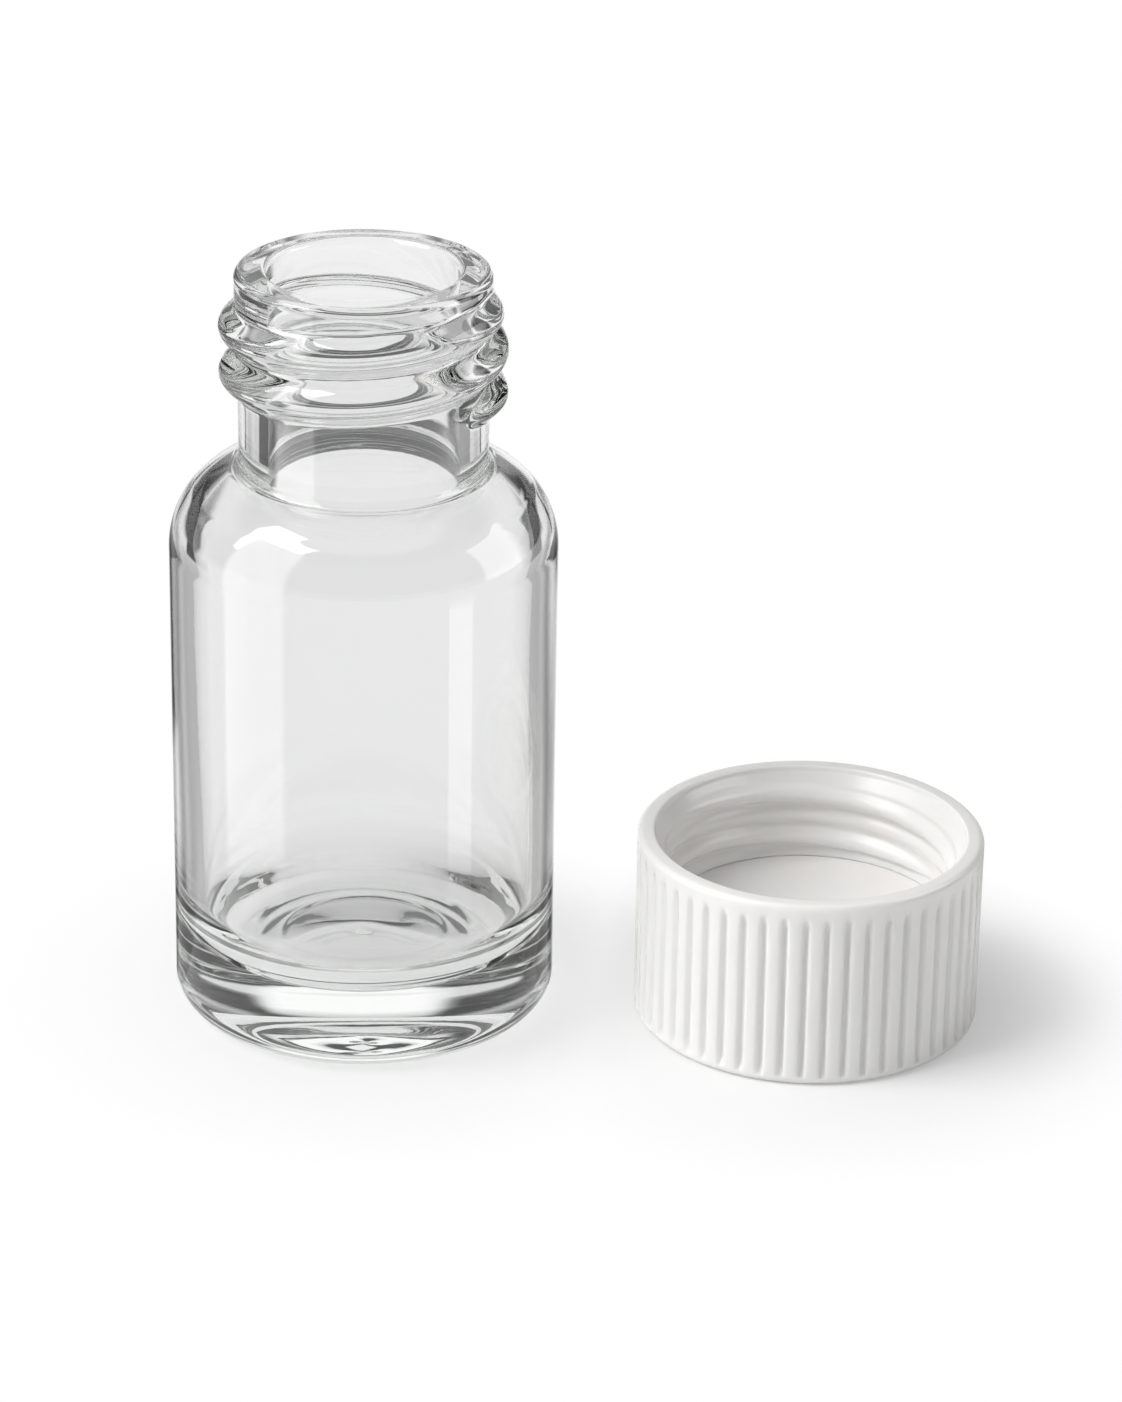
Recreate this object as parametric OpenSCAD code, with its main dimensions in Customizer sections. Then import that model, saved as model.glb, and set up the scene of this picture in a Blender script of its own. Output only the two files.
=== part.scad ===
// Glass sample vial with its ribbed screw cap taken off and lying upside down beside it.
// Millimetres. The vial stands on z = 0 with its axis on the z axis, and the cap lies towards +x.
// The neck carries its winding glass bead. The thin ridge in the cap that grips it is fine detail
// of the dressed model, and the bore of the cap keeps its room here.

/* [Vial] */
// outer diameter of the round body
body_d = 28; // [26:0.5:32]
// height of the vial from its bearing ring to the top of the lip
vial_h = 56.6; // [52:0.2:62]
// thickness of the body wall
wall_t = 1.9; // [1.4:0.1:2.4]
// thickness of the base, from the bearing ring to the inner floor
base_t = 4.8; // [3:0.2:7]
// outer round where the wall meets the base
heel_r = 2.2; // [1:0.2:3]
// inner round where the wall meets the floor
floor_r = 5; // [3:0.5:6]
// width of the flat ring that the vial stands on
ring_w = 2.2; // [1:0.2:4]
// depth of the hollow under the base at its centre
push_up_h = 0.8; // [0.3:0.1:1.2]
// radius of the outer shoulder, seen from the side
shoulder_r = 6.3; // [5:0.1:7]
// how much smaller the round of the inner shoulder is
shoulder_t = 1.7; // [1.2:0.1:2.4]

/* [Neck] */
// length of the neck, from the shoulder to the top of the lip
neck_h = 14.6; // [13.6:0.2:17]
// diameter of the neck between the turns of the bead
neck_d = 17.9; // [17:0.1:18.2]
// hollow round where the shoulder turns up into the neck
neck_foot_r = 0.8; // [0.4:0.1:1.4]
// diameter of the rounded lip
lip_d = 18.3; // [17.8:0.1:18.7]
// height of the lip above the neck
lip_h = 2.4; // [1.6:0.2:3]
// outer edge round of the lip
lip_r = 0.6; // [0.3:0.1:0.8]
// diameter of the bore through the mouth and the neck
bore_d = 13.6; // [12:0.1:14]
// edge round between the bore and the top of the lip
bore_edge_r = 0.45; // [0.2:0.05:0.6]
// round where the bore opens into the body
throat_r = 0.8; // [0.4:0.1:1.2]

/* [Bead] */
// diameter over the rounded bead that winds up the neck
bead_d = 20.6; // [20:0.1:20.8]
// rise of the bead in one turn
bead_pitch = 3.4; // [3.2:0.1:3.8]
// full width of the bead at the neck
bead_w = 3.2; // [2.4:0.1:3.2]
// how far the middle of the bead is below the top of the lip, at the angle 0 of its first turn
bead_start_drop = 9.25; // [8.8:0.05:9.6]
// turn that the bead makes from start to end, in degrees
bead_turn = 780; // [600:10:790]
// angle round the axis at which the bead starts
bead_from = -38; // [-60:1:-10]
// turn over which each end of the bead fades into the neck
fade_turn = 42; // [24:2:60]

/* [Cap] */
// diameter over the ribs
cap_d = 25.4; // [24.6:0.1:26.4]
// height of the cap
cap_h = 14.4; // [13.6:0.2:16]
// thickness of the closed top, which lies on the table
cap_top_t = 4.4; // [3.2:0.2:5.2]
// clearance between the neck bead and the bore of the cap, on the radius
bead_gap = 0.35; // [0.2:0.05:0.45]
// lead-in round inside the rim
lead_in_r = 0.6; // [0.3:0.05:0.7]
// outer edge round of the rim
rim_r = 0.55; // [0.3:0.05:0.8]
// outer edge round of the closed top
top_edge_r = 0.7; // [0.4:0.05:1]
// height of the smooth band under the rim
band_h = 1.6; // [1.2:0.1:2.4]
// number of ribs round the skirt
rib_count = 52; // [48:1:56]
// radius of one rounded rib
rib_r = 0.85; // [0.8:0.05:1]
// height of the slope at the low end of each rib
rib_end_h = 1; // [0.6:0.1:1.4]

/* [Liner] */
// thickness of the liner disc
liner_t = 3; // [1.5:0.1:3.2]
// clearance between the liner and the bore of the cap, on the radius
liner_gap = 0.08; // [0.05:0.01:0.2]
// edge round of the liner
liner_edge_r = 0.25; // [0.1:0.05:0.4]
// height of the small bead that keeps the liner in the cap
keeper_h = 0.3; // [0.15:0.05:0.4]
// width of that bead along the axis
keeper_w = 0.8; // [0.5:0.1:0.9]

/* [Placing] */
// how far the cap lies from the vial axis, sideways
cap_x = 32.8; // [30:0.2:45]
// how far the cap lies from the vial axis, front to back
cap_y = -2; // [-15:0.5:15]

/* [Hidden] */
$fn = 96;
// one piece to draw by itself, or all of them
// points along a quarter round of a profile
quarter = 8;
// facets round one rib
rib_facets = 24;
// how far the ring that trims the ribs reaches past them
trim_reach = 0.1;
// steps of the bead in one full turn
turn_steps = 60;
// steps across the bead
across_steps = 8;
// how deep the foot of the bead is set into the neck
foot_depth = 0.7;
// how far the edges of the bead start below the surface of the neck
edge_depth = 0.15;
// how far each edge of the bead reaches past its width, below that surface
edge_reach = 0.1;
// rounding of the bead from side to side: 1 is a plain cosine, less is fuller
fullness = 0.75;

body_r = body_d / 2;
neck_r = neck_d / 2;
bore_r = bore_d / 2;
lip_top_r = lip_d / 2;
inner_r = body_r - wall_t;
neck_z = vial_h - neck_h;
ring_inner_r = body_r - heel_r - ring_w;
// the hollow under the base is a shallow arc
hollow_arc_r = (pow(ring_inner_r, 2) + pow(push_up_h, 2)) / (2 * push_up_h);
hollow_angle = asin(ring_inner_r / hollow_arc_r);
// without the hollow round at its foot, the neck would stand on the shoulder's arc at neck_z
shoulder_x = body_r - shoulder_r;
shoulder_z = neck_z - sqrt(pow(shoulder_r, 2) - pow(max(neck_r - shoulder_x, 0), 2));
// the hollow round touches the neck, and the shoulder's arc or the flat inside it
neck_foot_x = neck_r + neck_foot_r;
neck_foot_run = max(neck_foot_x - shoulder_x, 0);
neck_foot_rise = sqrt(pow(shoulder_r + neck_foot_r, 2) - pow(neck_foot_run, 2));
shoulder_end = atan2(neck_foot_rise, neck_foot_run);
// inside, the throat round meets the inner shoulder in the same way
inner_shoulder_r = shoulder_r - shoulder_t;
inner_shoulder_x = inner_r - inner_shoulder_r;
throat_x = bore_r + throat_r;
throat_run = max(throat_x - inner_shoulder_x, 0);
throat_rise = sqrt(pow(inner_shoulder_r + throat_r, 2) - pow(throat_run, 2));
inner_shoulder_end = atan2(throat_rise, throat_run);

bead_r = bead_d / 2;
bead_h = bead_r - neck_r;
bead_z = vial_h - bead_start_drop;

cap_r = cap_d / 2;
cap_bore_r = bead_r + bead_gap;
liner_r = cap_bore_r - liner_gap;
liner_top_z = cap_top_t + liner_t;
rib_ring_r = cap_r - rib_r;
// where two neighbouring ribs meet, which is the bottom of the groove between them
groove_half = rib_ring_r * sin(180 / rib_count);
groove_r = rib_ring_r * cos(180 / rib_count) + sqrt(rib_r * rib_r - groove_half * groove_half);
rib_low_z = top_edge_r - rib_end_h / 2;
rib_high_z = cap_h - band_h;
// the height over which the smooth band grows out of the grooves
band_slope_h = cap_r - groove_r;

// points on a round stretch of a profile
function arc(x, z, r, from, to, steps) =
    [for (i = [0 : steps]) let (a = from + (to - from) * i / steps) [x + r * cos(a), z + r * sin(a)]];

// how full the bead is at one angle: 0 at its ends, 1 past the fading stretch
function fullness_at(a) =
    let (t = min(a - bead_from, bead_from + bead_turn - a) / fade_turn)
    t >= 1 ? 1 : (1 - cos(180 * max(t, 0))) / 2;

// one cross section of the bead at one angle, as points of [radius, height]
function bead_section(a) =
    let (full = fullness_at(a))
    let (z = bead_z + bead_pitch * a / 360)
    let (half = bead_w / 2 * full + edge_reach)
    concat(
        [[neck_r - foot_depth, z - half]],
        [for (k = [0 : across_steps])
            let (s = 2 * k / across_steps - 1)
            let (crown = pow(max(cos(90 * s), 0), fullness))
            [neck_r + full * (bead_h + edge_depth) * crown - edge_depth, z + s * half]],
        [[neck_r - foot_depth, z + half]]
    );

// the rounded glass bead that winds up round the neck, right-handed, and fades in at both ends
module winding_bead() {
    steps = ceil(bead_turn * turn_steps / 360);
    ring = across_steps + 3;
    points = [for (i = [0 : steps])
        let (a = bead_from + bead_turn * i / steps)
        for (p = bead_section(a)) [p[0] * cos(a), p[0] * sin(a), p[1]]];
    sides = [for (i = [0 : steps - 1], k = [0 : ring - 1])
        let (m = (k + 1) % ring)
        [i * ring + m, (i + 1) * ring + m, (i + 1) * ring + k, i * ring + k]];
    first_end = [for (k = [ring - 1 : -1 : 0]) k];
    last_end = [for (k = [0 : ring - 1]) steps * ring + k];
    polyhedron(points, concat(sides, [first_end, last_end]), convexity = 6);
}

// outer and inner outline of the vial in one closed profile
module vial_profile() {
    polygon(concat(
        arc(0, push_up_h - hollow_arc_r, hollow_arc_r, 90, 90 - hollow_angle, quarter),
        arc(body_r - heel_r, heel_r, heel_r, -90, 0, quarter),
        arc(shoulder_x, shoulder_z, shoulder_r, 0, shoulder_end, 2 * quarter),
        arc(neck_foot_x, shoulder_z + neck_foot_rise, neck_foot_r, shoulder_end + 180, 180, quarter),
        [[neck_r, vial_h - lip_h], [lip_top_r, vial_h - lip_h + (lip_top_r - neck_r)]],
        arc(lip_top_r - lip_r, vial_h - lip_r, lip_r, 0, 90, quarter),
        arc(bore_r + bore_edge_r, vial_h - bore_edge_r, bore_edge_r, 90, 180, quarter),
        arc(throat_x, shoulder_z + throat_rise, throat_r, 180, inner_shoulder_end + 180, quarter),
        arc(inner_shoulder_x, shoulder_z, inner_shoulder_r, inner_shoulder_end, 0, quarter),
        arc(inner_r - floor_r, base_t + floor_r, floor_r, 0, -90, quarter),
        [[0, base_t]]
    ));
}

// the moulded glass: base, body, shoulder, neck, winding bead and lip in one piece
module glass_vial() {
    color([0.88, 0.93, 0.93, 0.5])
    union() {
        rotate_extrude() vial_profile();
        winding_bead();
    }
}

// the cap without its ribs, as a closed cup that opens upwards
module cap_cup_profile() {
    polygon(concat(
        [[0, 0]],
        arc(groove_r - top_edge_r, top_edge_r, top_edge_r, -90, 0, quarter),
        [[groove_r, rib_high_z], [cap_r, rib_high_z + band_slope_h]],
        arc(cap_r - rim_r, cap_h - rim_r, rim_r, 0, 90, quarter),
        arc(cap_bore_r + lead_in_r, cap_h - lead_in_r, lead_in_r, 90, 180, quarter),
        [[cap_bore_r, liner_top_z + keeper_w]],
        [for (i = [1 : quarter - 1])
            let (s = 180 * i / quarter)
            [cap_bore_r - keeper_h * sin(s), liner_top_z + keeper_w * (1 - i / quarter)]],
        [[cap_bore_r, liner_top_z], [cap_bore_r, cap_top_t], [0, cap_top_t]]
    ));
}

// the ring in which the ribs may stand, with sloping ends
module rib_limit() {
    rotate_extrude()
    polygon([
        [rib_ring_r, rib_low_z],
        [groove_r, rib_low_z],
        [cap_r, rib_low_z + rib_end_h],
        [cap_r + trim_reach, rib_low_z + rib_end_h],
        [cap_r + trim_reach, rib_high_z + band_slope_h],
        [rib_ring_r, rib_high_z + band_slope_h]
    ]);
}

// the rounded ribs round the skirt
module ribs() {
    intersection() {
        union() {
            for (i = [0 : rib_count - 1])
                rotate([0, 0, i * 360 / rib_count])
                translate([rib_ring_r, 0, 0])
                cylinder(r = rib_r, h = cap_h, $fn = rib_facets);
        }
        rib_limit();
    }
}

// the moulded cap, which lies on its closed top with the mouth upwards
module screw_cap() {
    color([0.96, 0.96, 0.95])
    translate([cap_x, cap_y, 0])
    union() {
        rotate_extrude() cap_cup_profile();
        ribs();
    }
}

// the soft disc that lies on the floor of the cap, behind the small keeper bead
module cap_liner() {
    color([0.9, 0.88, 0.83])
    translate([cap_x, cap_y, cap_top_t])
    rotate_extrude()
    polygon(concat(
        [[0, 0], [liner_r - liner_edge_r, 0]],
        arc(liner_r - liner_edge_r, liner_edge_r, liner_edge_r, -90, 0, quarter / 2),
        arc(liner_r - liner_edge_r, liner_t - liner_edge_r, liner_edge_r, 0, 90, quarter / 2),
        [[0, liner_t]]
    ));
}

glass_vial();
screw_cap();
cap_liner();
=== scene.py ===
"""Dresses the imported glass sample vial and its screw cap, and sets the studio round them."""

import logging
import math
from collections.abc import Callable
from dataclasses import dataclass, field
from enum import Enum

import bpy
import numpy as np
from mathutils import Matrix, Vector


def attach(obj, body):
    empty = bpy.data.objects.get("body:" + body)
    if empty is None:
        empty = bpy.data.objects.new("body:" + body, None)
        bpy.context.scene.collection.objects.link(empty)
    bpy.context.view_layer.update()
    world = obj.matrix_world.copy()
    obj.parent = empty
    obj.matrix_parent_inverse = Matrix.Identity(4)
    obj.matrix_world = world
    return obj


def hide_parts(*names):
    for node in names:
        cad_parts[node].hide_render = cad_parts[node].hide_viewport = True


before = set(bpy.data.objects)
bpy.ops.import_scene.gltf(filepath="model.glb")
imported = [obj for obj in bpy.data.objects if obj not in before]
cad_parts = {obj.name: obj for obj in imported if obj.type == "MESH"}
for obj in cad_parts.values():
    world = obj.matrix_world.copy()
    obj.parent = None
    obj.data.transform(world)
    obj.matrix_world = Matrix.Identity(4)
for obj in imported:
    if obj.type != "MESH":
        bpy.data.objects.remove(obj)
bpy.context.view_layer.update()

MM = 0.001
FULL_TURN = 2 * math.pi
BODY = "root"

log = logging.getLogger("vial_scene")

Pair = tuple[float, float]
Points = list[Pair]
Shaper = Callable[[np.ndarray, np.ndarray, np.ndarray], tuple[np.ndarray, np.ndarray]]


class Facing(Enum):
    """The side of a round wall that a winding bead stands on."""

    OUTWARD = 1
    INWARD = -1


def arc(
    centre_r: float, centre_z: float, radius: float, start: float, end: float, steps: int
) -> Points:
    """Gives the points of a round stretch of a profile.

    Args:
        centre_r: Distance of the arc's centre from the axis, in millimetres.
        centre_z: Height of the arc's centre, in millimetres.
        radius: Radius of the arc, in millimetres.
        start: Angle of the first point, in degrees from the outward direction.
        end: Angle of the last point, in degrees.
        steps: Number of steps along the arc.

    Returns:
        The points as pairs of radius and height.
    """
    angles = np.radians(np.linspace(start, end, steps + 1))
    return [(centre_r + radius * math.cos(a), centre_z + radius * math.sin(a)) for a in angles]


def line(start: tuple[float, float], end: tuple[float, float], steps: int = 1) -> Points:
    """Gives the points of a straight stretch, with a close pair at each end.

    The close pairs keep the smooth shading of a straight stretch flat beside a tight round.

    Args:
        start: First point, as radius and height in millimetres.
        end: Last point.
        steps: Number of steps between the close pairs.

    Returns:
        The points from start to end.
    """
    length = math.dist(start, end)
    margin = min(0.06, 0.2 * length) / max(length, 1e-6)
    shares = [margin + (1 - 2 * margin) * i / steps for i in range(steps + 1)]
    return [
        (start[0] + (end[0] - start[0]) * s, start[1] + (end[1] - start[1]) * s) for s in shares
    ]


@dataclass(frozen=True)
class WindingBead:
    """A rounded bead that winds up round a wall as a right-hand thread, in millimetres."""

    facing: Facing
    height: float
    width: float
    pitch: float
    middle_at_x: float
    start_angle: float
    turn: float
    fade_angle: float
    fullness: float = 0.75
    softening: float = 0.13

    def rise(self, angle: np.ndarray, height: np.ndarray) -> np.ndarray:
        """Gives how far the bead stands off its wall.

        Args:
            angle: Angles round the axis, in degrees from 0 to 360.
            height: Heights above the table, in millimetres, of a shape that joins angle's.

        Returns:
            The rise at each point, in millimetres, with its foot softened.
        """
        shifts = np.linspace(-2, 2, 9)
        weights = np.exp(-0.5 * shifts**2)
        total = sum(
            w * self._sharp_rise(angle, height + s * self.softening)
            for s, w in zip(shifts, weights)
        )
        return total / weights.sum()

    def _sharp_rise(self, angle: np.ndarray, height: np.ndarray) -> np.ndarray:
        """Gives the bead's rise before its foot is softened."""
        out = np.zeros(np.broadcast(angle, height).shape)
        first = math.floor(self.start_angle / 360)
        last = math.ceil((self.start_angle + self.turn) / 360)
        for winding in range(first, last + 1):
            wound = angle + 360 * winding
            room = np.minimum(wound - self.start_angle, self.start_angle + self.turn - wound)
            full = 0.5 - 0.5 * np.cos(np.pi * np.clip(room / self.fade_angle, 0, 1))
            middle = self.middle_at_x + self.pitch * wound / 360
            half = np.maximum(self.width / 2 * (0.35 + 0.65 * full), 1e-3)
            across = np.clip(np.abs(height - middle) / half, 0, 1)
            crown = np.cos(np.pi / 2 * across) ** self.fullness
            out = np.maximum(out, full * self.height * np.where(across < 1, crown, 0))
        return out


def turned_mesh(
    name: str, profile: Points, segments: int, shape: Shaper | None = None
) -> bpy.types.Object:
    """Turns a closed profile round the vertical axis into one smooth closed mesh.

    Args:
        name: Name of the new object.
        profile: Points from the axis, round the section, and back to the axis, in millimetres.
        segments: Number of steps round the axis.
        shape: Function of the angles in degrees, the radii and the heights, which gives the
            radii and heights to use instead, as arrays of one row per profile point.

    Returns:
        The new object, linked to the scene, with its mesh in metres.
    """
    inner = np.array(profile[1:-1])
    angles = np.arange(segments) * FULL_TURN / segments
    radii = np.repeat(inner[:, :1], segments, axis=1)
    heights = np.repeat(inner[:, 1:], segments, axis=1)
    if shape is not None:
        radii, heights = shape(np.degrees(angles)[None, :], radii, heights)
    rings = np.stack([radii * np.cos(angles), radii * np.sin(angles), heights], axis=-1)
    poles = np.array([[0, 0, profile[0][1]], [0, 0, profile[-1][1]]])
    vertices = np.vstack([rings.reshape(-1, 3), poles]) * MM
    rows = len(inner)
    low = np.arange(segments)
    nxt = np.roll(low, -1)
    faces: list[list[int]] = []
    for row in range(rows - 1):
        a, b = row * segments, (row + 1) * segments
        faces += np.stack([a + low, a + nxt, b + nxt, b + low], axis=1).tolist()
    first_pole, last_pole = rows * segments, rows * segments + 1
    faces += np.stack([nxt, low, np.full(segments, first_pole)], axis=1).tolist()
    top = (rows - 1) * segments
    faces += np.stack([top + low, top + nxt, np.full(segments, last_pole)], axis=1).tolist()
    mesh = bpy.data.meshes.new(name)
    mesh.from_pydata(vertices.tolist(), [], faces)
    mesh.polygons.foreach_set("use_smooth", [True] * len(mesh.polygons))
    mesh.update()
    piece = bpy.data.objects.new(name, mesh)
    bpy.context.scene.collection.objects.link(piece)
    return piece


class NodeTree:
    """A thin wrapper that adds and joins nodes in a material or a node group."""

    def __init__(self, tree: bpy.types.NodeTree) -> None:
        """Keeps the tree that the nodes go into."""
        self.tree = tree

    def add(self, kind: str, **values: object) -> bpy.types.Node:
        """Adds a node and sets its properties or inputs.

        Args:
            kind: The node's type name.
            **values: Properties by name, or inputs by name with underscores for spaces.

        Returns:
            The new node.
        """
        node = self.tree.nodes.new(kind)
        for key, value in values.items():
            if hasattr(node, key):
                setattr(node, key, value)
            else:
                node.inputs[key.replace("_", " ")].default_value = value
        return node

    def join(self, start: bpy.types.NodeSocket, end: bpy.types.NodeSocket) -> None:
        """Joins an output socket to an input socket."""
        self.tree.links.new(start, end)


def unevenness_group() -> bpy.types.NodeTree:
    """Builds the shared group that gives a moulded surface its slight unevenness.

    Returns:
        A node group with inputs Broad Scale, Fine Scale and Fine Share, and outputs Height
        and Mask, both from 0 to 1 over the surface.
    """
    group = bpy.data.node_groups.new("moulded_unevenness", "ShaderNodeTree")
    sockets = group.interface
    for name, value in (("Broad Scale", 90.0), ("Fine Scale", 900.0), ("Fine Share", 0.3)):
        socket = sockets.new_socket(name, in_out="INPUT", socket_type="NodeSocketFloat")
        socket.default_value = value
    for name in ("Height", "Mask"):
        sockets.new_socket(name, in_out="OUTPUT", socket_type="NodeSocketFloat")
    nodes = NodeTree(group)
    source = nodes.add("NodeGroupInput")
    sink = nodes.add("NodeGroupOutput")
    place = nodes.add("ShaderNodeTexCoord")
    broad = nodes.add("ShaderNodeTexNoise", Detail=2.0, Roughness=0.5)
    fine = nodes.add("ShaderNodeTexNoise", Detail=4.0, Roughness=0.6)
    blend = nodes.add("ShaderNodeMix", data_type="FLOAT")
    nodes.join(place.outputs["Object"], broad.inputs["Vector"])
    nodes.join(place.outputs["Object"], fine.inputs["Vector"])
    nodes.join(source.outputs["Broad Scale"], broad.inputs["Scale"])
    nodes.join(source.outputs["Fine Scale"], fine.inputs["Scale"])
    nodes.join(source.outputs["Fine Share"], blend.inputs[0])
    nodes.join(broad.outputs["Fac"], blend.inputs[2])
    nodes.join(fine.outputs["Fac"], blend.inputs[3])
    nodes.join(blend.outputs[0], sink.inputs["Height"])
    nodes.join(broad.outputs["Fac"], sink.inputs["Mask"])
    return group


@dataclass(frozen=True)
class Finish:
    """A moulded finish: two near colours, a roughness range and a faint unevenness."""

    name: str
    colour: tuple[float, float, float]
    second_colour: tuple[float, float, float]
    roughness: tuple[float, float]
    broad_scale: float
    fine_scale: float
    fine_share: float
    bump_depth: float
    ior: float = 1.5
    transmission: float = 0.0
    subsurface: float = 0.0
    absorption: float = 0.0
    absorbed_colour: tuple[float, float, float] = (0.5, 0.5, 0.5)
    shadow_share: float = 1.0

    def material(self, unevenness: bpy.types.NodeTree) -> bpy.types.Material:
        """Builds the finish as a material.

        Args:
            unevenness: The shared group of slight surface unevenness.

        Returns:
            The new material.
        """
        material = bpy.data.materials.new(self.name)
        material.use_nodes = True
        nodes = NodeTree(material.node_tree)
        shader = material.node_tree.nodes["Principled BSDF"]
        shader.inputs["IOR"].default_value = self.ior
        shader.inputs["Transmission Weight"].default_value = self.transmission
        if self.subsurface:
            shader.inputs["Subsurface Weight"].default_value = self.subsurface
            shader.inputs["Subsurface Radius"].default_value = (1.0, 0.9, 0.8)
            shader.inputs["Subsurface Scale"].default_value = 1.2 * MM
        surface = nodes.add("ShaderNodeGroup", node_tree=unevenness)
        surface.inputs["Broad Scale"].default_value = self.broad_scale
        surface.inputs["Fine Scale"].default_value = self.fine_scale
        surface.inputs["Fine Share"].default_value = self.fine_share
        tint = nodes.add("ShaderNodeMix", data_type="RGBA")
        tint.inputs[6].default_value = (*self.colour, 1)
        tint.inputs[7].default_value = (*self.second_colour, 1)
        polish = nodes.add("ShaderNodeMapRange")
        polish.inputs["To Min"].default_value = self.roughness[0]
        polish.inputs["To Max"].default_value = self.roughness[1]
        bump = nodes.add("ShaderNodeBump", Strength=1.0, Distance=self.bump_depth * MM)
        nodes.join(surface.outputs["Mask"], tint.inputs[0])
        nodes.join(tint.outputs[2], shader.inputs["Base Color"])
        nodes.join(surface.outputs["Mask"], polish.inputs["Value"])
        nodes.join(polish.outputs["Result"], shader.inputs["Roughness"])
        nodes.join(surface.outputs["Height"], bump.inputs["Height"])
        nodes.join(bump.outputs["Normal"], shader.inputs["Normal"])
        if self.absorption:
            volume = nodes.add("ShaderNodeVolumeAbsorption", Density=self.absorption)
            volume.inputs["Color"].default_value = (*self.absorbed_colour, 1)
            output = material.node_tree.nodes["Material Output"]
            nodes.join(volume.outputs["Volume"], output.inputs["Volume"])
        if self.shadow_share < 1:
            path = nodes.add("ShaderNodeLightPath")
            thin = nodes.add("ShaderNodeMapRange")
            thin.inputs["To Min"].default_value = 1.0
            thin.inputs["To Max"].default_value = self.shadow_share
            nodes.join(path.outputs["Is Shadow Ray"], thin.inputs["Value"])
            nodes.join(thin.outputs["Result"], shader.inputs["Alpha"])
        return material


CLEAR_GLASS = Finish(
    name="clear_glass",
    colour=(0.905, 0.908, 0.906),
    second_colour=(0.895, 0.898, 0.896),
    roughness=(0.0, 0.012),
    broad_scale=70.0,
    fine_scale=400.0,
    fine_share=0.15,
    bump_depth=0.02,
    ior=1.5,
    transmission=1.0,
    absorption=12.0,
    absorbed_colour=(0.72, 0.75, 0.72),
    shadow_share=0.18,
)
WHITE_PLASTIC = Finish(
    name="white_moulded_plastic",
    colour=(0.87, 0.865, 0.855),
    second_colour=(0.85, 0.845, 0.83),
    roughness=(0.17, 0.27),
    broad_scale=120.0,
    fine_scale=2500.0,
    fine_share=0.5,
    bump_depth=0.006,
    subsurface=0.35,
)
SOFT_LINER = Finish(
    name="soft_liner",
    colour=(0.93, 0.915, 0.9),
    second_colour=(0.9, 0.88, 0.86),
    roughness=(0.6, 0.8),
    broad_scale=160.0,
    fine_scale=5000.0,
    fine_share=0.75,
    bump_depth=0.03,
)


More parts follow.
